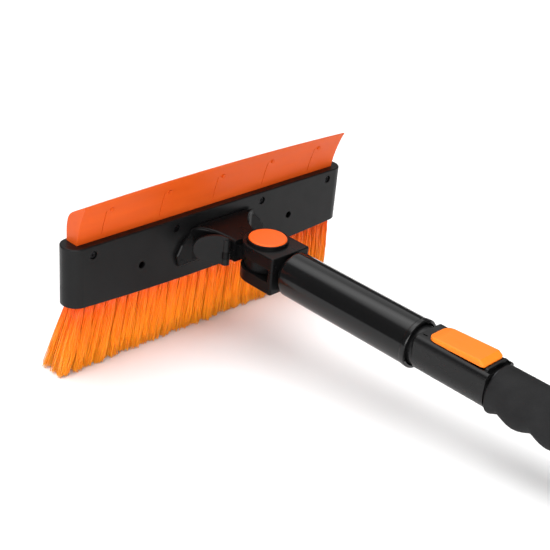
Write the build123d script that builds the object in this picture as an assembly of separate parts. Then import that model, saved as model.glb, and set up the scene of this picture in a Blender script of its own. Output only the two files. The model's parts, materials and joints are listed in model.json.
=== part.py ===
"""Extendable snow brush with a swivelling head, a squeegee blade and an ice scraper on the far end.

Everything is drawn lying level: X runs along the brush head, the pole runs towards -Y from it, and
Z = 0 is the pole's own axis. At the end the whole tool is tipped so that it rests on its bristle tips
and on the scraper's edge, with the origin under the middle of its outline.
"""

from build123d import *
from math import atan2, cos, degrees, radians, sin
import os

# ---- brush head -----------------------------------------------------------------------------------
HEAD_LENGTH = 280.0
HEAD_HEIGHT = 47.0
HEAD_DEPTH = 21.5  # its ends are round, with half of this as their radius
HEAD_BOW = 5.0  # how far the lower edge hangs below its ends at mid-length
SHELL_WALL = 2.2
HEAD_TOP = HEAD_HEIGHT / 2
HEAD_MID = HEAD_DEPTH / 2  # where the front and back shells meet
SCREW_X = (-120.6, -44.2, 44.2, 120.6)
SCREW_Z = 16.0
BLIND_HOLE_X = (-76.6, 76.6)
BLIND_HOLE_Z = -5.3
BLIND_HOLE_RADIUS = 2.9
POST_RADIUS = 3.0
POST_BOSS_RADIUS = 4.4
SCREW_SEAT = 2.6  # how far behind the head's face its screws are sunk
SCREW_SEAT_RADIUS = 3.2
BRACKET_SCREWS = ((-22.0, 4.0), (22.0, 4.0), (-22.0, -7.0), (22.0, -7.0))

# ---- squeegee blade -------------------------------------------------------------------------------
BLADE_HALF = 130.5
BLADE_FRONT = 6.5
BLADE_BACK = 18.8
BLADE_FOOT = 13.5  # how deep the foot reaches into the head
BLADE_TIP_Y = -4.4  # the blade leans forward to here
BLADE_TIP_END = 57.0  # height of its tip at either end
BLADE_TIP_MID = 59.4  # and at mid-length
BLADE_TIP_THICKNESS = 0.9
BLADE_HOLLOW = 1.4  # how far the front face is dished behind a straight line
BLADE_BACK_CURVE = ((4.9, 4.8), (12.0, 9.2), (16.3, 13.9), (18.1, 19.4))  # (y, distance below the tip)
BLADE_SHOULDER = 26.0  # below this distance under the tip the back is straight
GROOVE_SPACING = 52.5
GROOVE_OFFSET = -4.5  # each groove's place beside its dot
GROOVE_SPAN = (27.0, 48.0)
GROOVE_SIZE = 0.7
DOT_RADIUS = 1.6
DOT_Z = 48.0

# ---- bristles -------------------------------------------------------------------------------------
BRISTLE_TIP_Y = 8.5
BRISTLE_TIP_Z = -84.1
ROOT_ROWS = ((3.0, 7.7), (8.3, 13.0), (13.6, 18.4))
TIP_ROWS = ((8.5, 16.6), (17.2, 26.4), (27.0, 37.0))
BRISTLE_ROOT_HALF = 135.0
BRISTLE_TIP_HALF = 148.0
BRISTLE_BASE_DEPTH = 12.0

# ---- head bracket and swivel ----------------------------------------------------------------------
FLANGE_THICKNESS = 3.5
FLANGE_OUTLINE = ((24.0, 14.0), (33.0, 8.5), (41.0, 1.7), (45.5, -6.6), (43.0, -16.0))  # right half (x, z)
SOCKET_SECTIONS = (  # y, half width, top, bottom
    (-3.0, 33.0, 13.6, -14.5),
    (-8.0, 22.5, 12.7, -13.0),
    (-17.0, 16.0, 11.0, -11.0),
    (-31.0, 13.0, 9.0, -9.2),
)
SOCKET_CORNER = 2.6
SOCKET_MOUTH = SOCKET_SECTIONS[-1][0]
PIVOT_Y = -53.0
KNUCKLE_RADIUS = 16.5
KNUCKLE_HALF = 4.7
ARM_HALF = 10.0
PIVOT_RADIUS = 4.0
SHELL_SCREW_CLEARANCE = 1.7
SHELL_SCREW_CORE = 1.2
BRACKET_SCREW_RADIUS = 1.3
RUNNING = 0.05  # radial clearance of every running fit

# ---- pivot housing --------------------------------------------------------------------------------
HOUSING_HALF = 19.0
HOUSING_TOP = 15.0
HOUSING_FRONT = -78.3
CLEVIS_GAP = 5.2
CLEVIS_BACK = -74.5
COLLAR_RADIUS = 15.9
COLLAR_TOP = 17.2
BUTTON_RADIUS = 14.65
BUTTON_POCKET = 14.95
BUTTON_TOP = 18.0
LUG_FLOOR = (8.0, 10.0)
GEAR_TEETH = 12
GEAR_ROOT = 10.4
GEAR_TIP = 11.9
GEAR_CLEARANCE = 0.2
PRONG_CIRCLE = 8.8
PRONG_ANGLES = (90, 210, 330)

# ---- latch lever ----------------------------------------------------------------------------------
LATCH_PIN = (-19.5, -29.0)
LATCH_BOTTOM = -9.3
LATCH_TOP = 12.0
LATCH_CREST = 15.0
LATCH_TRAVEL = 16.0
LATCH_PATH = ((-19.5, -30.3), (-38.5, -13.4))  # plan of the lever's strip, from its pin to its free end
LATCH_HALF = 1.25  # half the strip's thickness
LATCH_WINDOW_Z = (-2.4, 4.4)
LATCH_PIN_RADIUS = 1.2
LATCH_KNUCKLE = 3.2
LATCH_SPRING_BED = 1.9

# ---- pole -----------------------------------------------------------------------------------------
SLEEVE_START = -82.0
SLEEVE_END = -204.0
SLEEVE_RADIUS = 17.6
SLEEVE_BORE = 16.0
LIP_RADIUS = 18.1
LIP_LENGTH = 4.0
INNER_TUBE_RADIUS = 11.0
INNER_TUBE_BORE = 9.8
INNER_TUBE_END = -500.0
OUTER_TUBE_RADIUS = 14.0
OUTER_TUBE_BORE = 12.8
OUTER_TUBE_END = -535.0
POLE_TRAVEL = 200.0
LOCK_STEP = 50.0
LOCK_Y = -222.0
GROOVE_WIDTH = 5.6
GROOVE_DEPTH = 0.6

# ---- lock body and thumb button -------------------------------------------------------------------
LOCK_NOSE = -198.0
LOCK_START = -207.0
LOCK_END = -267.5
LOCK_RADIUS = 15.5
LOCK_NECK = 14.6  # the round nose inside the sleeve's mouth
LOCK_RECESS = 12.9  # the deck drops to this height behind the button's rim
LOCK_TOP = 14.5
LOCK_SHOULDER = 5.0
LOCK_BEVEL = 2.0
RIM_HALF = 11.6
RIM_TOP = 16.2
RIM_WALL = 2.0
SPIGOT_END = -297.0
BUTTON_FRONT = -216.0
BUTTON_REAR = -262.0
BUTTON_HALF = 11.0
BUTTON_PIVOT = (-240.0, 14.6)
BUTTON_LUG_X = 6.0
BUTTON_PIN_RADIUS = 1.2
BUTTON_SPRING_Y = BUTTON_REAR + 7.0
LOCK_PIN_RADIUS = 2.4

# ---- grip and scraper -----------------------------------------------------------------------------
FOAM_START = -268.5
FOAM_END = -498.0
FOAM_RADIUS = 17.2
SOCKET_END = -592.0
SCRAPER_HALF = 50.0
SCRAPER_EDGE = (-650.0, -10.0)  # where the tool rests on the ground
HANG_HOLE_Y = -564.0
HANG_HOLE_RADIUS = 4.5
SCRAPER_SCREW_X = (-24.0, 24.0)

# ---- how it lies ----------------------------------------------------------------------------------
REST_TILT = degrees(atan2(SCRAPER_EDGE[1] - BRISTLE_TIP_Z, BRISTLE_TIP_Y - SCRAPER_EDGE[0]))


def block(x, y, z):
    """A box from three (low, high) pairs."""
    sizes = [high - low for low, high in (x, y, z)]
    return Pos(*[(low + high) / 2 for low, high in (x, y, z)]) * Box(*sizes)


def rod_x(radius, x, y, z):
    return Pos(sum(x) / 2, y, z) * Rot(0, 90, 0) * Cylinder(radius, x[1] - x[0])


def rod_y(radius, y, x=0.0, z=0.0):
    return Pos(x, sum(y) / 2, z) * Rot(90, 0, 0) * Cylinder(radius, y[1] - y[0])


def rod_z(radius, z, x=0.0, y=0.0):
    return Pos(x, y, sum(z) / 2) * Cylinder(radius, z[1] - z[0])


def tube_y(radius, bore, y):
    return rod_y(radius, y) - rod_y(bore, y)


def side_profile(points, x):
    """A solid with a (Y, Z) outline, between two X positions."""
    face = make_face(Polyline(*[(0, y, z) for y, z in points], close=True))
    return Pos(x[0], 0, 0) * extrude(face, amount=x[1] - x[0], dir=(1, 0, 0))


def plan_profile(points, z):
    """A solid with an (X, Y) outline, between two heights."""
    face = make_face(Polyline(*[(x, y, 0) for x, y in points], close=True))
    return Pos(0, 0, z[0]) * extrude(face, amount=z[1] - z[0], dir=(0, 0, 1))


def front_profile(wire, y):
    """A solid with an outline drawn in the XZ plane, between two Y positions."""
    return Pos(0, y[0], 0) * extrude(make_face(wire), amount=y[1] - y[0], dir=(0, 1, 0))


def coil(radius, wire, height, turns):
    """A round-wire compression spring standing on Z = 0."""
    path = Helix(pitch=(height - wire * 2) / turns, height=height - wire * 2, radius=radius)
    section = Plane(origin=path @ 0, z_dir=path % 0) * Circle(wire)
    return Pos(0, 0, wire) * sweep(section, path=path)


def ground_cut():
    """Everything below the surface that the tool rests on."""
    reach = 1000.0
    slab = block((-reach, reach), (-reach, reach), (-reach, 0))
    return Pos(0, BRISTLE_TIP_Y, BRISTLE_TIP_Z) * Rot(-REST_TILT, 0, 0) * slab


# ---- brush head -----------------------------------------------------------------------------------
def head_elevation(inset, top):
    """The head's front outline: level top, upright ends and a bowed lower edge."""
    half = HEAD_LENGTH / 2 - inset
    low = -HEAD_HEIGHT / 2
    lower = ThreePointArc((half, 0, low), (0, 0, low - HEAD_BOW), (-half, 0, low))
    sides = Polyline((-half, 0, low), (-half, 0, top), (half, 0, top), (half, 0, low))
    return Wire([lower, *sides.edges()])


def head_plan(inset, z):
    """The head's plan, a bar with round ends, as an upright solid."""
    outline = SlotOverall(HEAD_LENGTH - 2 * inset, HEAD_DEPTH - 2 * inset)
    return Pos(0, HEAD_MID, z[0]) * extrude(outline, amount=z[1] - z[0])


def head_shells():
    below = -HEAD_HEIGHT
    body = head_plan(0, (below, HEAD_TOP)) & front_profile(head_elevation(0, HEAD_TOP), (-1, HEAD_DEPTH + 1))
    rim = body.edges().filter_by_position(Axis.Z, HEAD_TOP - 0.01, HEAD_TOP + 0.01)
    body = fillet(rim, 1.0)
    body -= head_plan(SHELL_WALL, (below, HEAD_TOP - SHELL_WALL))
    slot = (BLADE_FRONT - 0.1, BLADE_BACK + 0.1)
    body -= block((-BLADE_HALF - 0.2, BLADE_HALF + 0.2), slot, (0, HEAD_TOP + 1))
    front = body & block((-200, 200), (-1, HEAD_MID), (-100, 100))
    back = body & block((-200, 200), (HEAD_MID, 50), (-100, 100))
    post_end = HEAD_DEPTH - SHELL_WALL + 0.1
    for x in SCREW_X:
        front += rod_y(POST_BOSS_RADIUS, (SHELL_WALL - 0.1, BLADE_FRONT - 0.2), x, SCREW_Z)
        front += rod_y(POST_RADIUS, (SHELL_WALL, HEAD_MID), x, SCREW_Z)
        front -= rod_y(SHELL_SCREW_CLEARANCE, (-1, HEAD_MID + 1), x, SCREW_Z)
        front -= rod_y(SCREW_SEAT_RADIUS, (-1, SCREW_SEAT), x, SCREW_Z)
        back += rod_y(POST_RADIUS, (HEAD_MID, post_end), x, SCREW_Z)
        back -= rod_y(SHELL_SCREW_CORE, (HEAD_MID - 1, HEAD_DEPTH - SHELL_WALL), x, SCREW_Z)
    for x in BLIND_HOLE_X:
        front -= rod_y(BLIND_HOLE_RADIUS, (-1, SHELL_WALL + 1), x, BLIND_HOLE_Z)
    for x, z in BRACKET_SCREWS:
        front -= rod_y(1.6, (-1, SHELL_WALL + 1), x, z)
    return {"head_front_shell": front, "head_back_shell": back}


def pan_screw(head_radius, head_height, shank_radius, length):
    """A cross-recessed screw along +Y, with the underside of its head at Y = 0."""
    head = rod_y(head_radius, (-head_height, 0))
    head = fillet(head.edges().group_by(Axis.Y)[0], head_height * 0.45)
    shank = rod_y(shank_radius, (-0.1, length))
    arm = head_radius * 0.6
    cross = block((-arm, arm), (-head_height - 1, -head_height * 0.4), (-0.45, 0.45))
    cross += block((-0.45, 0.45), (-head_height - 1, -head_height * 0.4), (-arm, arm))
    return head + shank - cross


def head_screws():
    screw = pan_screw(2.7, 1.3, 1.15, 14.0)
    return {"head_screws": Compound([Pos(x, SCREW_SEAT, SCREW_Z) * screw for x in SCREW_X])}


def bracket_screws():
    screw = Rot(0, 0, 180) * pan_screw(2.8, 1.6, BRACKET_SCREW_RADIUS, 5.0)
    return {"bracket_screws": Compound([Pos(x, SHELL_WALL, z) * screw for x, z in BRACKET_SCREWS])}


def blade_section(x, tip):
    """The blade's outline at one place along it: a dished front, a thin tip and a swept back."""
    foot = HEAD_TOP - BLADE_FOOT
    hollow = (x, (BLADE_FRONT + BLADE_TIP_Y) / 2 + BLADE_HOLLOW, (HEAD_TOP + tip) / 2)
    dish = ThreePointArc((x, BLADE_FRONT, HEAD_TOP), hollow, (x, BLADE_TIP_Y, tip))
    edge = Line((x, BLADE_TIP_Y, tip), (x, BLADE_TIP_Y + BLADE_TIP_THICKNESS, tip))
    shoulder = (x, BLADE_BACK, tip - BLADE_SHOULDER)
    swept = [(x, y, tip - below) for y, below in BLADE_BACK_CURVE]
    back = Spline(edge @ 1, *swept, shoulder, tangents=[(0, 1, -0.4), (0, 0, -1)])
    base = Polyline(shoulder, (x, BLADE_BACK, foot), (x, BLADE_FRONT, foot), (x, BLADE_FRONT, HEAD_TOP))
    return make_face(Wire([dish, edge, back, *base.edges()]))


def squeegee_blade():
    tips = (BLADE_TIP_END, BLADE_TIP_MID, BLADE_TIP_END)
    places = (-BLADE_HALF, 0, BLADE_HALF)
    blade = loft([blade_section(x, tip) for x, tip in zip(places, tips)])
    low, high = GROOVE_SPAN
    for i in range(-2, 3):
        x = i * GROOVE_SPACING
        tip = BLADE_TIP_MID - (BLADE_TIP_MID - BLADE_TIP_END) * (x / BLADE_HALF) ** 2
        start = x + GROOVE_OFFSET - GROOVE_SIZE / 2
        strip = extrude(blade_section(start, tip), amount=GROOVE_SIZE, dir=(1, 0, 0))
        groove = Pos(0, -1, 0) * strip - Pos(0, GROOVE_SIZE, 0) * strip
        blade -= groove & block((start - 1, start + 2), (-10, BLADE_FRONT + 1), (low, high))
        blade += rod_y(DOT_RADIUS, (-1.2, 2.0), x, DOT_Z)
    for x in SCREW_X:
        blade -= rod_y(POST_RADIUS + 0.3, (0, 30), x, SCREW_Z)
    return {"squeegee_blade": blade}


def bristle_block():
    top = -HEAD_HEIGHT / 2 + BRISTLE_BASE_DEPTH
    base = head_plan(SHELL_WALL + 0.1, (-HEAD_HEIGHT, top))
    base &= front_profile(head_elevation(0, top), (0, HEAD_DEPTH))
    made = {"bristle_base": base}
    root_z = -HEAD_HEIGHT / 2
    clear_of_head = front_profile(head_elevation(-40, HEAD_TOP), (-10, 60))
    drop = 8.0  # the rows run this much lower than their front tips, and the ground trims them
    for name, root, tip in zip(("front", "middle", "rear"), ROOT_ROWS, TIP_ROWS):
        widths = (2 * BRISTLE_ROOT_HALF, 2 * BRISTLE_TIP_HALF)
        upper, lower = [
            Pos(0, sum(row) / 2, z) * Rectangle(width, row[1] - row[0])
            for row, z, width in ((root, root_z, widths[0]), (tip, BRISTLE_TIP_Z - drop, widths[1]))
        ]
        made["bristle_row_" + name] = loft([upper, lower]) - clear_of_head - ground_cut()
    return made


# ---- head bracket, swivel arm and latch -----------------------------------------------------------
def head_bracket():
    left_half = [(-x, z) for x, z in reversed(FLANGE_OUTLINE)]
    wire = Polyline(*[(x, 0, z) for x, z in [*FLANGE_OUTLINE, *left_half]], close=True)
    flange = front_profile(wire, (-FLANGE_THICKNESS, 0))
    flange = chamfer(flange.edges().group_by(Axis.Y)[0], 0.9)
    rings = []
    for y, half, top, bottom in SOCKET_SECTIONS:
        ring = Plane((0, y, (top + bottom) / 2), x_dir=(1, 0, 0), z_dir=(0, -1, 0))
        rings.append(ring * RectangleRounded(2 * half, top - bottom, SOCKET_CORNER))
    socket = loft(rings)
    pin_x, pin_y = LATCH_PIN
    lug = rod_z(LATCH_KNUCKLE, (-4.0, 1.4), pin_x, pin_y)
    lug += block((pin_x, -12.0), (pin_y - 2.0, pin_y + 6.0), (-4.0, 1.4))
    bracket = flange + socket + lug
    bracket -= block((-ARM_HALF - 0.2, ARM_HALF + 0.2), (SOCKET_MOUTH - 1, -7.0), (-4.9, 4.9))
    bracket -= block((-34, -ARM_HALF), (-20.6, -12.4), LATCH_WINDOW_Z)
    bracket -= rod_z(1.5, (-10, 10), pin_x, pin_y)
    for x, z in BRACKET_SCREWS:
        bracket -= rod_y(BRACKET_SCREW_RADIUS, (-FLANGE_THICKNESS + 0.6, 1), x, z)
    bracket -= latch_sweep()
    return {"head_bracket": bracket}


def swivel_arm():
    arm = rod_z(KNUCKLE_RADIUS, (-KNUCKLE_HALF, KNUCKLE_HALF), 0, PIVOT_Y)
    arm += block((-ARM_HALF, ARM_HALF), (PIVOT_Y, -7.5), (-KNUCKLE_HALF, KNUCKLE_HALF))
    arm -= block((-ARM_HALF - 1, -ARM_HALF + 2.6), (-20.2, -14.0), (-2.6, 4.6))
    arm -= rod_z(PIVOT_RADIUS + RUNNING, (-10, 10), 0, PIVOT_Y)
    arm -= Pos(0, PIVOT_Y, 0) * spline_prism(GEAR_CLEARANCE, (-2.0, 10.0))
    return {"swivel_arm": arm}


def spline_prism(grow, z):
    """A toothed bar about Z. With clearance it is the pocket, without it is the lock gear."""
    prism = rod_z(GEAR_ROOT + grow, z)
    half = 1.2 + grow
    for i in range(GEAR_TEETH):
        tooth = block((0, GEAR_TIP + grow), (-half, half), z)
        prism += Rot(0, 0, i * 360 / GEAR_TEETH) * tooth
    return prism


def latch_strip(half, z):
    """The lever's strip, straight out from its pin to the end of the thumb tab."""
    (x1, y1), (x2, y2) = LATCH_PATH
    length = ((x2 - x1) ** 2 + (y2 - y1) ** 2) ** 0.5
    leg = block((0, length), (-half, half), z)
    leg = Pos(x1, y1, 0) * Rot(0, 0, degrees(atan2(y2 - y1, x2 - x1))) * leg
    return leg + rod_z(half, z, x1, y1) + rod_z(half, z, x2, y2)


def latch_tab():
    """The tab's outline, square at the pin and rounded at its free end, cut right through the strip."""
    (x1, y1), (x2, y2) = LATCH_PATH
    along = Vector(x2 - x1, y2 - y1, 0).normalized()
    lower = Polyline((17.0, -7.3), (-4.0, LATCH_BOTTOM), (-4.0, LATCH_TOP))
    crest = ThreePointArc((-4.0, LATCH_TOP), (12.0, LATCH_CREST), (21.0, 12.2))
    front = ThreePointArc((21.0, 12.2), (25.4, 1.6), (17.0, -7.3))
    face = make_face(Wire([*lower.edges(), crest, front]))
    side = Plane((x1, y1, 0), x_dir=along, z_dir=(along.Y, -along.X, 0))
    return extrude(side * face, amount=15, both=True)


def latch_lever():
    pin_x, pin_y = LATCH_PIN
    lever = latch_strip(LATCH_HALF, (LATCH_BOTTOM, LATCH_CREST + 1)) & latch_tab()
    nose = block((-33.5, -7.9), (-19.3, -16.6), (-2.0, 4.0))
    nose -= Pos(-7.9, -16.6, 1) * Rot(0, 0, 45) * Box(1.6, 1.6, 10)
    knuckle = rod_z(LATCH_KNUCKLE, (LATCH_BOTTOM, LATCH_TOP), pin_x, pin_y)
    lever += nose + knuckle
    lever -= rod_z(3.6, (-4.3, 1.7), pin_x, pin_y)
    lever -= rod_z(2.4, (1.6, 5.6), pin_x, pin_y)
    lever -= rod_z(LATCH_PIN_RADIUS + RUNNING, (-20, 20), pin_x, pin_y)
    return {"latch_lever": lever}


def latch_sweep():
    """The room the lever needs beside the socket, drawn a little large, over its whole swing."""
    pin_x, pin_y = LATCH_PIN
    strip = latch_strip(LATCH_HALF + 0.4, (LATCH_BOTTOM - 0.4, LATCH_CREST + 0.4))
    room = rod_z(3.6, (1.4, LATCH_TOP + 0.4), pin_x, pin_y)
    room += rod_z(3.6, (LATCH_BOTTOM - 0.4, -4.0), pin_x, pin_y)
    for angle in (0, LATCH_TRAVEL / 2, LATCH_TRAVEL):
        swung = Pos(pin_x, pin_y, 0) * Rot(0, 0, angle) * Pos(-pin_x, -pin_y, 0) * strip
        room += swung - block((pin_x - 3.6, 0), (-60, pin_y + 3.6), (-4.0, 1.4))
    return room


def latch_hardware():
    pin_x, pin_y = LATCH_PIN
    pin = rod_z(LATCH_PIN_RADIUS, (LATCH_BOTTOM - 0.6, LATCH_TOP + 0.4), pin_x, pin_y)
    spring = Pos(pin_x, pin_y, LATCH_SPRING_BED) * coil(1.85, 0.3, 3.4, 4)
    return {"latch_pin": pin, "latch_spring": spring}


# ---- pivot housing --------------------------------------------------------------------------------
def pivot_housing():
    z = (-HOUSING_TOP, HOUSING_TOP)
    body = rod_z(HOUSING_HALF, z, 0, PIVOT_Y)
    body += block((-HOUSING_HALF, HOUSING_HALF), (HOUSING_FRONT, PIVOT_Y), z)
    corners = body.edges().filter_by(Axis.Z).filter_by_position(Axis.Y, HOUSING_FRONT - 1, HOUSING_FRONT + 1)
    body = fillet(corners, 1.4)
    body = fillet(body.edges().group_by(Axis.Z)[-1] + body.edges().group_by(Axis.Z)[0], 0.8)
    body += rod_z(COLLAR_RADIUS, (HOUSING_TOP - 1, COLLAR_TOP), 0, PIVOT_Y)
    body += rod_y(12.0, (SLEEVE_START - 2.5, HOUSING_FRONT + 0.5))
    body += rod_y(INNER_TUBE_BORE - 0.05, (-122.0, SLEEVE_START))
    body -= block((-30, 30), (CLEVIS_BACK, 0), (-CLEVIS_GAP, CLEVIS_GAP))
    body -= rod_z(BUTTON_POCKET, (LUG_FLOOR[1], 30), 0, PIVOT_Y)
    body -= Pos(0, PIVOT_Y, 0) * spline_prism(GEAR_CLEARANCE, (0, LUG_FLOOR[0]))
    for angle in PRONG_ANGLES:
        body -= prong(1.95, (0, 20), angle)
    body -= rod_z(PIVOT_RADIUS + 0.02, (-30, 30), 0, PIVOT_Y)
    body -= Pos(0, PIVOT_Y, -HOUSING_TOP - 1) * extrude(RegularPolygon(7.2, 6), amount=4.8)
    return {"pivot_housing": body}


def prong(radius, z, angle):
    x = PRONG_CIRCLE * cos(radians(angle))
    y = PRONG_CIRCLE * sin(radians(angle))
    return rod_z(radius, z, x, PIVOT_Y + y)


def pivot_button():
    """The orange cap, crowned on top, with three prongs that reach the lock gear."""
    cap = rod_z(BUTTON_RADIUS, (13.6, BUTTON_TOP), 0, PIVOT_Y)
    cap = fillet(cap.edges().group_by(Axis.Z)[-1], 1.1)
    cap -= rod_z(7.0, (13.0, 16.0), 0, PIVOT_Y)
    for angle in PRONG_ANGLES:
        cap += prong(1.6, (7.8, 14.0), angle)
    gear = spline_prism(0, (5.5, 7.8)) - rod_z(5.4, (5, 8))
    return {"pivot_button": cap, "lock_gear": Pos(0, PIVOT_Y, 0) * gear}


def pivot_hardware():
    head = rod_z(6.0, (LUG_FLOOR[1], LUG_FLOOR[1] + 2.4), 0, PIVOT_Y)
    head = fillet(head.edges().group_by(Axis.Z)[-1], 0.8)
    bolt = head + rod_z(PIVOT_RADIUS, (-HOUSING_TOP + 0.2, LUG_FLOOR[1] + 0.1), 0, PIVOT_Y)
    nut_low, nut_high = -HOUSING_TOP + 0.6, -HOUSING_TOP + 3.8
    nut = Pos(0, PIVOT_Y, nut_low) * extrude(RegularPolygon(7.0, 6), amount=nut_high - nut_low)
    nut -= rod_z(PIVOT_RADIUS, (-30, 0), 0, PIVOT_Y)
    spring = Pos(0, PIVOT_Y, -1.95) * coil(7.4, 0.55, 7.3, 3)
    return {"pivot_bolt": bolt, "pivot_nut": nut, "pivot_spring": spring}


# ---- pole -----------------------------------------------------------------------------------------
def neck_sleeve():
    sleeve = rod_y(SLEEVE_RADIUS, (SLEEVE_END, SLEEVE_START))
    sleeve = fillet(sleeve.edges().group_by(Axis.Y)[-1], 3.0)
    lip = rod_y(LIP_RADIUS, (SLEEVE_END, SLEEVE_END + LIP_LENGTH))
    sleeve += fillet(lip.edges().group_by(Axis.Y)[0] + lip.edges().group_by(Axis.Y)[-1], 0.9)
    sleeve -= rod_y(SLEEVE_BORE, (SLEEVE_END - 1, SLEEVE_START - 3.0)) + rod_y(12.2, (SLEEVE_START - 4, 0))
    return {"neck_sleeve": sleeve}


def sleeve_spacers():
    rings = [tube_y(SLEEVE_BORE, INNER_TUBE_RADIUS, (end - 12.0, end)) for end in (-92.0, -186.0)]
    return {"sleeve_spacers": Compound(rings)}


def inner_tube():
    tube = tube_y(INNER_TUBE_RADIUS, INNER_TUBE_BORE, (INNER_TUBE_END, SLEEVE_START - 2.5))
    half = GROOVE_WIDTH / 2
    groove_floor = INNER_TUBE_RADIUS - GROOVE_DEPTH
    tube -= block((-half, half), (INNER_TUBE_END - 1, SLEEVE_END + 10), (groove_floor, 20))
    for step in range(int(POLE_TRAVEL / LOCK_STEP) + 1):
        tube -= rod_z(LOCK_PIN_RADIUS + 0.2, (0, 20), 0, LOCK_Y - step * LOCK_STEP)
    return {"inner_tube": tube}


def tube_guide():
    guide = rod_y(OUTER_TUBE_BORE - 0.1, (INNER_TUBE_END - 12, INNER_TUBE_END))
    guide += rod_y(INNER_TUBE_BORE - 0.05, (INNER_TUBE_END, INNER_TUBE_END + 15))
    guide -= rod_y(7.0, (INNER_TUBE_END - 13, INNER_TUBE_END + 16))
    return {"tube_guide": guide}


def outer_tube():
    return {"outer_tube": tube_y(OUTER_TUBE_RADIUS, OUTER_TUBE_BORE, (OUTER_TUBE_END, LOCK_END))}


# ---- lock body and thumb button -------------------------------------------------------------------
def lock_body():
    nose = rod_y(LOCK_NECK, (LOCK_END, LOCK_NOSE))
    nose = chamfer(nose.edges().group_by(Axis.Y)[-1], 2.0)
    nose -= block((-30, 30), (LOCK_END - 1, LOCK_START), (LOCK_TOP, 30))
    arch = Pos(0, LOCK_TOP / 2) * Rectangle(2 * LOCK_RADIUS, LOCK_TOP)
    arch = fillet(arch.vertices().group_by(Axis.Y)[-1], LOCK_SHOULDER) + Circle(LOCK_RADIUS)
    arch -= Pos(0, LOCK_TOP + 5) * Rectangle(60, 10)
    saddle = Plane((0, LOCK_END, 0), x_dir=(1, 0, 0), z_dir=(0, -1, 0)) * arch
    saddle = extrude(saddle, amount=LOCK_START - LOCK_END, dir=(0, 1, 0))
    saddle = chamfer(saddle.edges().group_by(Axis.Y)[-1], LOCK_BEVEL)
    body = nose + saddle + rod_y(OUTER_TUBE_BORE - 0.05, (SPIGOT_END, LOCK_END + 1))
    rim_start = BUTTON_REAR - 1.2
    rim = block((-RIM_HALF, RIM_HALF), (rim_start - RIM_WALL, rim_start + 0.1), (8.0, RIM_TOP))
    body -= block((-RIM_HALF, RIM_HALF), (LOCK_END - 0.5, rim_start - RIM_WALL + 0.1), (LOCK_RECESS, 30))
    body += fillet(rim.edges().filter_by(Axis.Y).group_by(Axis.Z)[-1], 2.2)
    body -= rod_y(INNER_TUBE_RADIUS + RUNNING, (SPIGOT_END - 1, LOCK_NOSE + 1))
    pocket = block((-11.4, 11.4), (rim_start, BUTTON_PIVOT[0] + 6), (12.3, 30))
    body -= fillet(pocket.edges().filter_by(Axis.Z), 2.4)
    body -= rod_z(LOCK_PIN_RADIUS + RUNNING, (0, 30), 0, LOCK_Y)
    body -= rod_z(4.0, (13.6, 30), 0, LOCK_Y)
    body -= rod_z(2.5, (11.6, 30), 0, BUTTON_SPRING_Y)
    body -= block((-8.6, -7.4), (-214.0, -210.5), (13.0, 16.0))
    return {"lock_body": body + button_lugs()}


def button_lugs():
    """Two cheeks in the pocket that carry the thumb button's pivot pin."""
    y, z = BUTTON_PIVOT
    cheek = block((-0.9, 0.9), (y - 2.2, y + 2.2), (12.0, z)) + rod_x(2.2, (-0.9, 0.9), y, z)
    lugs = Pos(-BUTTON_LUG_X, 0, 0) * cheek + Pos(BUTTON_LUG_X, 0, 0) * cheek
    return lugs - rod_x(1.25, (-20, 20), y, z)


def thumb_button():
    y, z = BUTTON_PIVOT
    outline = [
        (BUTTON_REAR, 15.4),
        (BUTTON_REAR, 16.6),
        (BUTTON_REAR + 4.2, 19.4),
        (BUTTON_FRONT - 6, 17.5),
        (BUTTON_FRONT, 16.2),
        (BUTTON_FRONT, 14.7),
        (y + 6, 14.7),
    ]
    button = side_profile(outline, (-BUTTON_HALF, BUTTON_HALF))
    plan = block((-BUTTON_HALF, BUTTON_HALF), (BUTTON_REAR, BUTTON_FRONT), (0, 30))
    plan = fillet(plan.edges().filter_by(Axis.Z).group_by(Axis.Y)[-1], 6.0)
    plan = fillet(plan.edges().filter_by(Axis.Z).group_by(Axis.Y)[0], 3.0)
    crown = button.edges().filter_by(lambda edge: abs(edge.tangent_at(0.5).Y) > 0.5 and edge.center().Z > 16)
    button = fillet(crown, 1.5) & plan
    for side in (-BUTTON_LUG_X, BUTTON_LUG_X):
        button -= block((side - 1.2, side + 1.2), (y - 2.6, y + 2.6), (10, z))
        button -= rod_x(2.6, (side - 1.2, side + 1.2), y, z)
    button -= rod_x(BUTTON_PIN_RADIUS + RUNNING, (-8.2, 8.2), y, z)
    button -= rod_z(3.9, (10, 15.9), 0, LOCK_Y) + rod_z(2.5, (10, 16.4), 0, BUTTON_SPRING_Y)
    return {"thumb_button": button}


def lock_hardware():
    y, z = BUTTON_PIVOT
    pin = rod_z(LOCK_PIN_RADIUS, (INNER_TUBE_RADIUS - GROOVE_DEPTH + 0.3, 14.2), 0, LOCK_Y)
    pin += rod_z(3.4, (14.0, 15.2), 0, LOCK_Y)
    spring = Pos(0, BUTTON_SPRING_Y, 11.7) * coil(1.9, 0.3, 4.6, 5)
    return {
        "button_pin": rod_x(BUTTON_PIN_RADIUS, (-8.0, 8.0), y, z),
        "lock_pin": pin,
        "button_spring": spring,
    }


# ---- grip and scraper -----------------------------------------------------------------------------
def foam_grip():
    foam = rod_y(FOAM_RADIUS, (FOAM_END, FOAM_START))
    foam = fillet(foam.edges().group_by(Axis.Y)[0] + foam.edges().group_by(Axis.Y)[-1], 2.0)
    return {"foam_grip": foam - rod_y(OUTER_TUBE_RADIUS, (FOAM_END - 1, FOAM_START + 1))}


def scraper_slope(y):
    """The ice blade's lower face, which falls in a straight line to its edge."""
    root_y, root_z = -560.0, -2.2
    edge_y, edge_z = SCRAPER_EDGE
    return root_z + (edge_z - root_z) * (root_y - y) / (root_y - edge_y)


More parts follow.
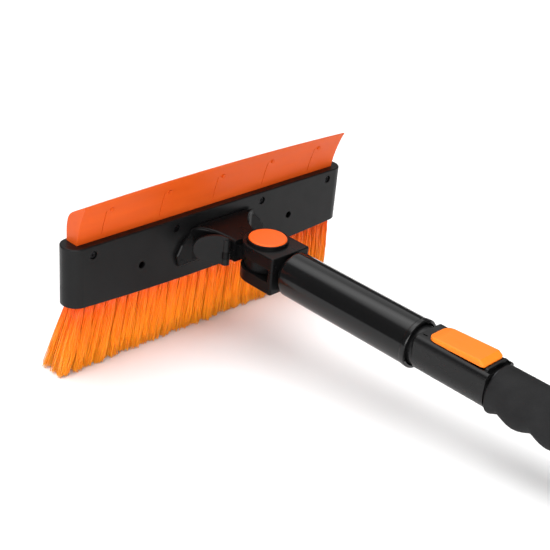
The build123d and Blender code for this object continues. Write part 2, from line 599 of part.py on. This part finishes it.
def scraper_socket():
    wing = 42.0
    outline = [(-15, -540), (15, -540), (15, -552), (wing, -578), (wing, SOCKET_END), (-wing, SOCKET_END)]
    outline += [(-wing, -578), (-15, -552)]
    plate = plan_profile(outline, (-8.0, 8.0))
    plate = fillet(plate.edges().filter_by(Axis.Z), 4.0)
    plate = chamfer(plate.edges().group_by(Axis.Z)[0] + plate.edges().group_by(Axis.Z)[-1], 1.5)
    collar = rod_y(FOAM_RADIUS - 1.2, (-552.0, OUTER_TUBE_END))
    collar = fillet(collar.edges().group_by(Axis.Y)[0] + collar.edges().group_by(Axis.Y)[-1], 1.2)
    socket = plate + collar + rod_y(OUTER_TUBE_BORE - 0.05, (OUTER_TUBE_END - 1, -516.0))
    socket -= rod_y(9.0, (-534.0, -515.0))
    socket -= rod_z(HANG_HOLE_RADIUS, (-20, 20), 0, HANG_HOLE_Y)
    low = scraper_slope(-574.0)
    socket -= side_profile(
        [(-574.0, low - 0.1), (-574.0, low + 4.3), (-600.0, scraper_slope(-600.0) + 4.3),
         (-600.0, scraper_slope(-600.0) - 0.1)], (-wing - 5, wing + 5)
    )
    for x in SCRAPER_SCREW_X:
        socket -= rod_z(1.3, (-20, 5.5), x, -583.0) + rod_z(3.0, (-20, -6.2), x, -583.0)
    return {"scraper_socket": socket}


def scraper_blade():
    edge_y, edge_z = SCRAPER_EDGE
    low = scraper_slope(-574.2)
    bevel = edge_y + 9.0
    section = [
        (-574.2, low), (edge_y, edge_z), (edge_y, edge_z + 0.8),
        (bevel, scraper_slope(bevel) + 4.2), (-574.2, low + 4.2)
    ]
    blade = side_profile(section, (-SCRAPER_HALF, SCRAPER_HALF))
    flank = plan_profile([(-54, -594), (-54, -560), (-40.5, -560), (-40.5, -594)], (-20, 20))
    blade -= flank + mirror(flank, about=Plane.YZ)
    ridges = 9
    for i in range(ridges):
        x = (i - (ridges - 1) / 2) * 10.5
        y = bevel + 1.0
        ridge = side_profile(
            [(y, scraper_slope(y) + 4.0), (y + 14, scraper_slope(y + 14) + 4.0),
             (y + 2.5, scraper_slope(y + 2.5) + 6.6)], (x - 1.4, x + 1.4)
        )
        blade += ridge
    for x in SCRAPER_SCREW_X:
        blade -= rod_z(1.7, (-20, 20), x, -583.0)
    return {"scraper_blade": blade}


def scraper_screws():
    screw = Rot(90, 0, 0) * pan_screw(2.8, 1.5, 1.25, 10.0)
    return {"scraper_screws": Compound([Pos(x, -583.0, -6.2) * screw for x in SCRAPER_SCREW_X])}


# ---- assembly -------------------------------------------------------------------------------------
SECTIONS = (
    head_shells, head_screws, bracket_screws, squeegee_blade, bristle_block, head_bracket, swivel_arm,
    latch_lever, latch_hardware, pivot_housing, pivot_button, pivot_hardware, neck_sleeve,
    sleeve_spacers, inner_tube, tube_guide, outer_tube, lock_body, thumb_button, lock_hardware,
    foam_grip, scraper_socket, scraper_blade, scraper_screws,
)
level = {}
for section in SECTIONS:
    level.update(section())

tilted = {name: Rot(REST_TILT, 0, 0) * shape for name, shape in level.items()}
outline = Compound(list(tilted.values())).bounding_box()
SHIFT = (0.0, -(outline.min.Y + outline.max.Y) / 2, -outline.min.Z)
REST = Pos(*SHIFT) * Rot(REST_TILT, 0, 0)

os.makedirs("parts", exist_ok=True)
for name, shape in level.items():
    export_step(REST * shape, f"parts/{name}.step")
print("tilt", REST_TILT, "shift", SHIFT, "nodes", len(level))
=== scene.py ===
"""Looks for the extendable snow brush: bristles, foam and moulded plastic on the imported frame."""

import json
import math
import random

import bpy
from mathutils import Matrix, Vector


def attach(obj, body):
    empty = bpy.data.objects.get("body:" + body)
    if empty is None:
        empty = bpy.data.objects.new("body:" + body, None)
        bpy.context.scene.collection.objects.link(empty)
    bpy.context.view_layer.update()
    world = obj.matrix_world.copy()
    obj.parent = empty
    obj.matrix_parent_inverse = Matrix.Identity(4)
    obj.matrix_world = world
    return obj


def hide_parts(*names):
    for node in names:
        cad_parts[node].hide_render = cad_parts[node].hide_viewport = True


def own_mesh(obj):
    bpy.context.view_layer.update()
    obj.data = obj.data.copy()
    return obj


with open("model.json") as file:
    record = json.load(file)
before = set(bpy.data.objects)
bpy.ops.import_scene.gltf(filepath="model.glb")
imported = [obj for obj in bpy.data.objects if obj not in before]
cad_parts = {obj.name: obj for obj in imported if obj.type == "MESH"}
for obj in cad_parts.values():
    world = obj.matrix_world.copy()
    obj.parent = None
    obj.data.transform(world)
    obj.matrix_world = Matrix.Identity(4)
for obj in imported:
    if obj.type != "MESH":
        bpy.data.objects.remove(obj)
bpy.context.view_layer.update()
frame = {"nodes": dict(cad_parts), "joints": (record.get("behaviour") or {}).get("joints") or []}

# ---- the tool's own axes --------------------------------------------------------------------------
# The tool lies tipped on its bristles, so pieces are placed along its own level axes: X along the
# head, Y along the pole with 0 at the head's front face, and Z up from the pole's centre line.
joints = {joint["name"]: joint for joint in frame["joints"]}
ALONG = Vector(joints["pole_slide"]["axis"])
UPWARD = Vector(joints["head_swivel"]["axis"])
SWIVEL_Y = -0.053  # the swivel's place on the pole's axis
ORIGIN = Vector(joints["head_swivel"]["pos_m"]) - ALONG * SWIVEL_Y


def at(x, y, z):
    """A point given along the tool's own axes, in the frame's coordinates."""
    return ORIGIN + Vector((x, 0, 0)) + ALONG * y + UPWARD * z


def bearing(azimuth, elevation):
    """The direction, from the tool, of something seen at that azimuth and elevation in degrees."""
    a, e = math.radians(azimuth), math.radians(elevation)
    return Vector((math.sin(a) * math.cos(e), -math.cos(a) * math.cos(e), math.sin(e)))


# ---- bristles -------------------------------------------------------------------------------------
HEAD_HALF_HEIGHT = 0.0235
TUFTS = 27
TUFT_PITCH = 0.00985
TUFT_RADIUS = 0.0029
TUFT_SPLAY = 1.088  # how much further apart the tufts stand at their tips
TUFT_FLARE = 0.48  # a tuft's half width at its tips, as a share of the pitch
TUFT_WANDER = 0.0013  # how unevenly the tufts lean along the head
TUFT_LEAN = 0.0011  # and across it
FILAMENTS = 112  # in each tuft
FILAMENT_RADIUS = 0.00036
FILAMENT_TAPER = 0.12
FILAMENT_SIDES = 4
FILAMENT_RINGS = 5
FILAMENT_BOW = (0.0008, 0.0006)  # along the head and across it
FILAMENT_WAVER = 0.00022
TIP_STRAY = (0.0009, 0.0007)
TRIM = (0.0002, 0.0034)  # the least and the most that is cut off a tip
ROOT_SINK = 0.001  # how far the filaments start inside the head
BRISTLE_ROWS = {  # node: (root y, tip y, half a tuft's depth at its tips)
    "bristle_row_front": (0.0054, 0.0126, 0.0040),
    "bristle_row_middle": (0.0107, 0.0215, 0.0046),
    "bristle_row_rear": (0.0160, 0.0312, 0.0038),
}
BRISTLE_LENGTH_Z = 0.064

# ---- foam grip ------------------------------------------------------------------------------------
FOAM_START = -0.2687
FOAM_END = -0.4978
FOAM_RADIUS = 0.0171
FOAM_BORE = 0.01402
FINGER_PITCH = 0.0255
FINGER_START = 0.0085  # the first hollow's distance from the grip's front end
FINGER_SWELL = 0.0015  # how far the underside swells between its hollows
FINGER_DEPTH = 0.0040
FINGER_CUSP = 0.02  # how blunt the bottoms of the hollows are, from 0, sharp, to 1, flat
FINGER_FADE = 0.02  # the length at the rear end over which the hollows die out
UNDERSIDE = 0.15  # where the underside begins, as a height in radii above the middle
FOAM_ROUNDING = 0.0022
FOAM_SIDES = 72
FOAM_STEPS = 230

# ---- springs --------------------------------------------------------------------------------------
SPRING_STEPS = 24  # in each turn
WIRE_SIDES = 8
SPRINGS = (  # node, body, joint, foot, (radius, wire radius, height), turns, share left when pressed
    ("pivot_spring", "extension", "pivot_button_press", at(0, SWIVEL_Y, -0.00195),
     (0.0074, 0.00055, 0.0073), 3, 0.53),
    ("button_spring", "grip", "thumb_press", at(0, -0.255, 0.0117), (0.0019, 0.0003, 0.0046), 5, 0.62),
)

# ---- camera and light -----------------------------------------------------------------------------
CAMERA_AIM = at(0.067511, 0.0, -0.059586)
CAMERA_AZIMUTH = -44.383
CAMERA_ELEVATION = 23.814
CAMERA_ROLL = 0.32
CAMERA_DISTANCE = 0.953624
CAMERA_LENS = 73.68
LIGHTS_AIM = at(0, -0.10, 0)
LIGHTS = (  # name, azimuth, elevation, distance, (width, height), power
    ("key", 152, 50, 2.4, (3.0, 1.7), 15.0),
    ("high", -62, 68, 2.4, (1.8, 0.9), 11.0),
    ("front", -36, 9, 2.2, (2.0, 0.8), 47.0),
    ("side", -96, 14, 2.4, (0.9, 0.9), 11.0),
)
CEILING = ((0.0, 0.08), (0.55, 0.10), (0.80, 0.22), (0.92, 3.4))  # (sine of the elevation, brightness)
FLOOR_SIZE = 80.0


# ---- materials ------------------------------------------------------------------------------------
def new_material(name):
    made = bpy.data.materials.new(name)
    made.use_nodes = True
    tree = made.node_tree
    shader = tree.nodes["Principled BSDF"]
    place = tree.nodes.new("ShaderNodeTexCoord")
    return made, tree, shader, place.outputs["Object"]


def noise(tree, coordinates, scale, detail=3.0, stretch=None):
    texture = tree.nodes.new("ShaderNodeTexNoise")
    texture.inputs["Scale"].default_value = scale
    texture.inputs["Detail"].default_value = detail
    if stretch:
        mapping = tree.nodes.new("ShaderNodeMapping")
        mapping.inputs["Scale"].default_value = stretch
        tree.links.new(coordinates, mapping.inputs["Vector"])
        coordinates = mapping.outputs["Vector"]
    tree.links.new(coordinates, texture.inputs["Vector"])
    return texture.outputs["Fac"]


def ramp(tree, factor, stops):
    """A colour ramp from (position, colour) pairs."""
    node = tree.nodes.new("ShaderNodeValToRGB")
    elements = node.color_ramp.elements
    while len(elements) < len(stops):
        elements.new(0.5)
    for element, (position, colour) in zip(elements, stops):
        element.position = position
        element.color = (*colour, 1.0)
    tree.links.new(factor, node.inputs["Fac"])
    return node.outputs["Color"]


def spread(tree, factor, low, high, start=0.3, stop=0.7):
    """A factor between start and stop, stretched to run from low to high."""
    node = tree.nodes.new("ShaderNodeMapRange")
    node.inputs["From Min"].default_value = start
    node.inputs["From Max"].default_value = stop
    node.inputs["To Min"].default_value = low
    node.inputs["To Max"].default_value = high
    tree.links.new(factor, node.inputs["Value"])
    return node.outputs["Result"]


def bump(tree, shader, height, depth, strength=1.0, soft_edge=0.0):
    """Relief of the given depth in metres, with edges rounded to the soft_edge radius."""
    node = tree.nodes.new("ShaderNodeBump")
    node.inputs["Strength"].default_value = strength
    node.inputs["Distance"].default_value = depth
    tree.links.new(height, node.inputs["Height"])
    if soft_edge:
        rounding = tree.nodes.new("ShaderNodeBevel")
        rounding.samples = 6
        rounding.inputs["Radius"].default_value = soft_edge
        tree.links.new(rounding.outputs["Normal"], node.inputs["Normal"])
    tree.links.new(node.outputs["Normal"], shader.inputs["Normal"])


def tint(colour, amount):
    return tuple(min(1.0, c * amount) for c in colour)


def moulded(name, colour, roughness, gloss=0.3, grain_depth=0.00002, mottle=0.12):
    """Injection-moulded plastic: faint mottling, uneven gloss, soft edges and a fine grain."""
    made, tree, shader, place = new_material(name)
    shader.inputs["Specular IOR Level"].default_value = gloss
    cloud = noise(tree, place, 38.0, 4.0)
    stops = ((0.3, tint(colour, 1 - mottle)), (0.7, tint(colour, 1 + mottle)))
    tree.links.new(ramp(tree, cloud, stops), shader.inputs["Base Color"])
    smear = noise(tree, place, 110.0, 5.0, stretch=(1.0, 0.35, 1.0))
    tree.links.new(spread(tree, smear, roughness * 0.82, roughness * 1.2), shader.inputs["Roughness"])
    bump(tree, shader, noise(tree, place, 2600.0, 2.0), grain_depth, soft_edge=0.0004)
    return made


def rubber_sheet(name):
    """The squeegee's flexible orange blade, a little chalky, with faint lengthwise flow marks."""
    made, tree, shader, place = new_material(name)
    flow = noise(tree, place, 60.0, 6.0, stretch=(0.25, 1.0, 1.6))
    stops = ((0.25, (0.55, 0.070, 0.006)), (0.55, (0.60, 0.081, 0.008)), (0.8, (0.65, 0.096, 0.011)))
    tree.links.new(ramp(tree, flow, stops), shader.inputs["Base Color"])
    tree.links.new(spread(tree, flow, 0.38, 0.52), shader.inputs["Roughness"])
    shader.inputs["Specular IOR Level"].default_value = 0.15
    shader.inputs["Subsurface Weight"].default_value = 0.12
    shader.inputs["Subsurface Radius"].default_value = (0.004, 0.0015, 0.0008)
    bump(tree, shader, noise(tree, place, 900.0, 3.0), 0.00003, soft_edge=0.0004)
    return made


def nylon(name):
    """Bristles: a deeper orange at the root as painted shade, lighter towards the tips, and each
    filament its own tone.
    """
    made, tree, shader, place = new_material(name)
    height = tree.nodes.new("ShaderNodeSeparateXYZ")
    tree.links.new(place, height.inputs["Vector"])
    rise = spread(tree, height.outputs["Z"], 1.0, 0.0, 0.0, 0.058)
    # Painted shade: the deep orange root stop darkens the crowded roots under the head, and the colour
    # lightens towards the tips.
    stops = ((0.0, (0.96, 0.085, 0.003)), (0.35, (1.0, 0.20, 0.006)), (1.0, (1.0, 0.33, 0.012)))
    body = ramp(tree, rise, stops)
    island = tree.nodes.new("ShaderNodeNewGeometry").outputs["Random Per Island"]
    shade = spread(tree, island, 0.92, 1.0, 0.0, 1.0)
    scaled = tree.nodes.new("ShaderNodeVectorMath")
    scaled.operation = "SCALE"
    tree.links.new(body, scaled.inputs[0])
    tree.links.new(shade, scaled.inputs["Scale"])
    tree.links.new(scaled.outputs["Vector"], shader.inputs["Base Color"])
    tree.links.new(spread(tree, island, 0.3, 0.5, 0.0, 1.0), shader.inputs["Roughness"])
    shader.inputs["Specular IOR Level"].default_value = 0.3
    shader.inputs["Sheen Weight"].default_value = 0.25
    shader.inputs["Sheen Roughness"].default_value = 0.5
    shader.inputs["Sheen Tint"].default_value = (1.0, 0.42, 0.04, 1.0)
    shader.inputs["Subsurface Weight"].default_value = 0.4
    shader.inputs["Subsurface Radius"].default_value = (0.006, 0.0025, 0.0005)
    return made


def foam(name):
    """Closed-cell foam: matt black with open pores and a slightly scuffed, lighter skin."""
    made, tree, shader, place = new_material(name)
    scuff = noise(tree, place, 55.0, 6.0)
    stops = ((0.3, (0.005, 0.005, 0.0055)), (0.7, (0.011, 0.011, 0.0115)))
    tree.links.new(ramp(tree, scuff, stops), shader.inputs["Base Color"])
    shader.inputs["Roughness"].default_value = 0.82
    shader.inputs["Specular IOR Level"].default_value = 0.25
    cells = tree.nodes.new("ShaderNodeTexVoronoi")
    cells.inputs["Scale"].default_value = 1500.0
    tree.links.new(place, cells.inputs["Vector"])
    bump(tree, shader, cells.outputs["Distance"], 0.00012, 0.8)
    return made


def metal(name, colour, roughness):
    """Plated or anodised metal with fine scratches along the pole."""
    made, tree, shader, place = new_material(name)
    shader.inputs["Metallic"].default_value = 1.0
    scratch = noise(tree, place, 260.0, 6.0, stretch=(1.0, 0.1, 1.0))
    stops = ((0.3, tint(colour, 0.8)), (0.7, tint(colour, 1.1)))
    tree.links.new(ramp(tree, scratch, stops), shader.inputs["Base Color"])
    tree.links.new(spread(tree, scratch, roughness * 0.75, roughness * 1.3), shader.inputs["Roughness"])
    bump(tree, shader, scratch, 0.00002, soft_edge=0.0002)
    return made


BLACK = (0.0048, 0.0048, 0.005)
polished_black = moulded("polished_black", BLACK, 0.13, gloss=0.27, grain_depth=0.000002, mottle=0.06)
gloss_black = moulded("gloss_black", BLACK, 0.28, gloss=0.21, grain_depth=0.000006)
satin_black = moulded("satin_black", BLACK, 0.36, gloss=0.17, grain_depth=0.00001)
bracket_black = moulded("bracket_black", tint(BLACK, 0.8), 0.3, gloss=0.1, grain_depth=0.000006)
matt_black = moulded("matt_black", tint(BLACK, 1.6), 0.55, grain_depth=0.00003)
orange_disc = moulded(
    "orange_disc", (0.80, 0.108, 0.012), 0.4, gloss=0.2, grain_depth=0.00001, mottle=0.03
)
orange_button = moulded(
    "orange_button", (0.92, 0.20, 0.014), 0.4, gloss=0.2, grain_depth=0.00001, mottle=0.03
)
orange_blade = rubber_sheet("orange_blade")
orange_scraper = moulded("orange_scraper", (0.90, 0.17, 0.03), 0.3, grain_depth=0.00001, mottle=0.04)
bristle_nylon = nylon("bristle_nylon")
black_foam = foam("black_foam")
zinc = metal("zinc", (0.55, 0.55, 0.57), 0.28)
black_steel = metal("black_steel", (0.03, 0.03, 0.032), 0.35)
anodised = metal("anodised", (0.035, 0.035, 0.037), 0.34)

FINISHES = {
    polished_black: ("neck_sleeve",),
    gloss_black: ("lock_body",),
    satin_black: ("head_front_shell", "head_back_shell", "latch_lever", "scraper_socket"),
    bracket_black: ("head_bracket", "swivel_arm", "pivot_housing"),
    matt_black: ("bristle_base", "sleeve_spacers", "tube_guide"),
    orange_disc: ("pivot_button",),
    orange_button: ("thumb_button",),
    orange_blade: ("squeegee_blade",),
    orange_scraper: ("scraper_blade",),
    zinc: ("latch_pin", "latch_spring", "pivot_bolt", "pivot_nut", "pivot_spring", "lock_gear",
           "button_pin", "button_spring", "lock_pin", "bracket_screws"),
    black_steel: ("head_screws", "scraper_screws"),
    anodised: ("inner_tube", "outer_tube"),
}
for finish, names in FINISHES.items():
    for name in names:
        node = frame["nodes"][name]
        node.data.materials.clear()
        node.data.materials.append(finish)


# ---- pieces built here ----------------------------------------------------------------------------
def add_mesh(name, points, faces, finish, body, *stands_for):
    """A smooth piece that rides on a body in place of the named CAD nodes."""
    mesh = bpy.data.meshes.new(name)
    mesh.from_pydata(points, [], faces)
    mesh.polygons.foreach_set("use_smooth", [True] * len(mesh.polygons))
    mesh.materials.append(finish)
    piece = bpy.data.objects.new(name, mesh)
    bpy.context.scene.collection.objects.link(piece)
    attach(piece, body)
    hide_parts(*stands_for)
    return piece


def filament(root, tip, chance, points, faces):
    """One bristle: a thin four-sided rod that bows and wavers a little on its way to the tip."""
    across = (tip - root).cross(Vector((0, 1, 0))).normalized()
    side = across.cross(tip - root).normalized()
    bow = across * chance.gauss(0, FILAMENT_BOW[0]) + side * chance.gauss(0, FILAMENT_BOW[1])
    waver = across * chance.gauss(0, FILAMENT_WAVER)
    turn = chance.uniform(0, 2 * math.pi)
    first = len(points)
    for ring in range(FILAMENT_RINGS):
        share = ring / (FILAMENT_RINGS - 1)
        centre = root.lerp(tip, share) + bow * math.sin(math.pi * share)
        centre += waver * math.sin(3 * math.pi * share)
        radius = FILAMENT_RADIUS * (1.0 - FILAMENT_TAPER * share)
        for corner in range(FILAMENT_SIDES):
            angle = turn + corner * 2 * math.pi / FILAMENT_SIDES
            points.append(centre + (across * math.cos(angle) + side * math.sin(angle)) * radius)
    for ring in range(FILAMENT_RINGS - 1):
        low = first + ring * FILAMENT_SIDES
        high = low + FILAMENT_SIDES
        for corner in range(FILAMENT_SIDES):
            after = (corner + 1) % FILAMENT_SIDES
            faces.append((low + corner, high + corner, high + after, low + after))
    last = first + FILAMENT_SIDES * (FILAMENT_RINGS - 1)
    faces.append(tuple(first + corner for corner in range(FILAMENT_SIDES)))
    faces.append(tuple(last + corner for corner in reversed(range(FILAMENT_SIDES))))


def bristle_row(node, root_y, tip_y, tip_depth):
    """One row of tufts that fan out towards their tips, in place of the row's solid block."""
    chance = random.Random(node)
    points, faces = [], []
    for i in range(TUFTS):
        root_x = (i - (TUFTS - 1) / 2) * TUFT_PITCH
        tip_x = root_x * TUFT_SPLAY + chance.gauss(0, TUFT_WANDER)
        lean = chance.gauss(0, TUFT_LEAN)
        for _ in range(FILAMENTS):
            reach, angle = math.sqrt(chance.random()), chance.uniform(0, 2 * math.pi)
            dx, dy = reach * math.cos(angle), reach * math.sin(angle)
            root = at(
                root_x + dx * TUFT_RADIUS,
                root_y + dy * TUFT_RADIUS,
                -HEAD_HALF_HEIGHT + ROOT_SINK,
            )
            tip = at(
                tip_x + dx * TUFT_PITCH * TUFT_FLARE + chance.gauss(0, TIP_STRAY[0]),
                tip_y + lean + dy * tip_depth + chance.gauss(0, TIP_STRAY[1]),
                -HEAD_HALF_HEIGHT - BRISTLE_LENGTH_Z,
            )
            trimmed = chance.uniform(*TRIM)
            tip = root.lerp(tip, (root.z - trimmed) / (root.z - tip.z))
            filament(root, tip, chance, points, faces)
    return add_mesh(node.replace("row", "tufts"), points, faces, bristle_nylon, "head", node)


for row, places in BRISTLE_ROWS.items():
    bristle_row(row, *places)


def foam_radius(y, angle):
    """The grip's outer radius: rounded ends, a straight back and finger hollows underneath."""
    ends = min(FOAM_START - y, y - FOAM_END)
    if ends < FOAM_ROUNDING:
        drop = FOAM_ROUNDING - math.sqrt(max(0.0, FOAM_ROUNDING**2 - (FOAM_ROUNDING - ends) ** 2))
    else:
        drop = 0.0
    underside = min(1.0, max(0.0, UNDERSIDE - math.sin(angle)))
    turn = math.pi * (FOAM_START - y - FINGER_START) / FINGER_PITCH
    wave = 1.0 - math.sqrt(FINGER_CUSP + (1.0 - FINGER_CUSP) * math.sin(turn) ** 2)
    fade = min(1.0, max(0.0, (y - FOAM_END) / FINGER_FADE))
    return FOAM_RADIUS - drop + (FINGER_SWELL - FINGER_DEPTH * wave) * underside * fade


def foam_grip():
    """The foam sleeve: rings of points down its outside and back up its bore, joined in a loop."""
    length = FOAM_START - FOAM_END
    angles = [2 * math.pi * k / FOAM_SIDES for k in range(FOAM_SIDES)]
    points, faces = [], []
    for step in range(FOAM_STEPS + 1):
        y = FOAM_START - length * step / FOAM_STEPS
        for angle in angles:
            radius = foam_radius(y, angle)
            points.append(at(radius * math.cos(angle), y, radius * math.sin(angle)))
    for y in (FOAM_END, FOAM_START):
        for angle in angles:
            points.append(at(FOAM_BORE * math.cos(angle), y, FOAM_BORE * math.sin(angle)))
    rings = len(points) // FOAM_SIDES
    for ring in range(rings):
        low, high = ring * FOAM_SIDES, (ring + 1) % rings * FOAM_SIDES
        for k in range(FOAM_SIDES):
            after = (k + 1) % FOAM_SIDES
            faces.append((low + k, low + after, high + after, high + k))
    return add_mesh("foam_sleeve", points, faces, black_foam, "grip", "foam_grip")


grip = foam_grip()


def spring(node, body, joint, foot, size, turns, keep):
    """A coil of round wire standing on foot. The joint and keep arguments are not used."""
    radius, wire, height = size
    steps = turns * SPRING_STEPS
    points, faces = [], []
    for step in range(steps + 1):
        angle = 2 * math.pi * step / SPRING_STEPS
        out = Vector((1, 0, 0)) * math.cos(angle) + ALONG * math.sin(angle)
        centre = foot + out * radius + UPWARD * (wire + (height - 2 * wire) * step / steps)
        for side in range(WIRE_SIDES):
            turn = 2 * math.pi * side / WIRE_SIDES
            points.append(centre + (out * math.cos(turn) + UPWARD * math.sin(turn)) * wire)
    for step in range(steps):
        low, high = step * WIRE_SIDES, (step + 1) * WIRE_SIDES
        for side in range(WIRE_SIDES):
            after = (side + 1) % WIRE_SIDES
            faces.append((low + side, high + side, high + after, low + after))
    faces.append(tuple(range(WIRE_SIDES)))
    faces.append(tuple(steps * WIRE_SIDES + side for side in reversed(range(WIRE_SIDES))))
    coil = add_mesh(node + "_coil", points, faces, zinc, body, node)
    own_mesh(coil)


for settings in SPRINGS:
    spring(*settings)


# ---- stage ----------------------------------------------------------------------------------------
def floor():
    """Plain white card, large enough that no view shows its edge."""
    bpy.ops.mesh.primitive_plane_add(size=FLOOR_SIZE)
    plane = bpy.context.object
    plane.name = "floor"
    made, tree, shader, place = new_material("floor")
    card = ramp(tree, noise(tree, place, 3.0, 2.0), ((0.0, (0.965,) * 3), (1.0, (0.975,) * 3)))
    tree.links.new(card, shader.inputs["Base Color"])
    shader.inputs["Roughness"].default_value = 0.7
    plane.data.materials.append(made)


def softbox(name, azimuth, elevation, distance, size, power):
    """A rectangular diffused lamp, (width, height) in size, aimed at the sleeve."""
    light = bpy.data.lights.new(name, "AREA")
    light.shape = "RECTANGLE"
    light.size, light.size_y = size
    light.energy = power
    lamp = bpy.data.objects.new(name, light)
    away = bearing(azimuth, elevation)
    lamp.location = LIGHTS_AIM + away * distance
    lamp.rotation_euler = away.to_track_quat("Z", "Y").to_euler()
    bpy.context.scene.collection.objects.link(lamp)


def studio():
    """A dim room under a bright diffusing ceiling. The camera sees plain white past the floor."""
    world = bpy.data.worlds.new("studio")
    bpy.context.scene.world = world
    world.use_nodes = True
    tree = world.node_tree
    place = tree.nodes.new("ShaderNodeTexCoord")
    height = tree.nodes.new("ShaderNodeSeparateXYZ")
    tree.links.new(place.outputs["Generated"], height.inputs["Vector"])
    room = ramp(tree, height.outputs["Z"], [(sine, (glow,) * 3) for sine, glow in CEILING])
    seen = tree.nodes.new("ShaderNodeMix")
    seen.data_type = "RGBA"
    seen.inputs["B"].default_value = (1.0, 1.0, 1.0, 1.0)
    ray = tree.nodes.new("ShaderNodeLightPath")
    tree.links.new(ray.outputs["Is Camera Ray"], seen.inputs["Factor"])
    tree.links.new(room, seen.inputs["A"])
    tree.links.new(seen.outputs["Result"], tree.nodes["Background"].inputs["Color"])
    tree.nodes["Background"].inputs["Strength"].default_value = 1.0


def camera():
    """The picture's viewpoint."""
    data = bpy.data.cameras.new("camera")
    data.lens = CAMERA_LENS
    data.clip_start, data.clip_end = 0.01, 50.0
    lens = bpy.data.objects.new("camera", data)
    back = bearing(CAMERA_AZIMUTH, CAMERA_ELEVATION)
    turn = (-back).to_track_quat("-Z", "Y").to_matrix().to_4x4()
    roll = Matrix.Rotation(math.radians(CAMERA_ROLL), 4, "Z")
    lens.matrix_world = Matrix.Translation(CAMERA_AIM + back * CAMERA_DISTANCE) @ turn @ roll
    bpy.context.scene.collection.objects.link(lens)
    bpy.context.scene.camera = lens


floor()
studio()
for settings in LIGHTS:
    softbox(*settings)
camera()
bpy.context.scene.view_settings.view_transform = "Standard"
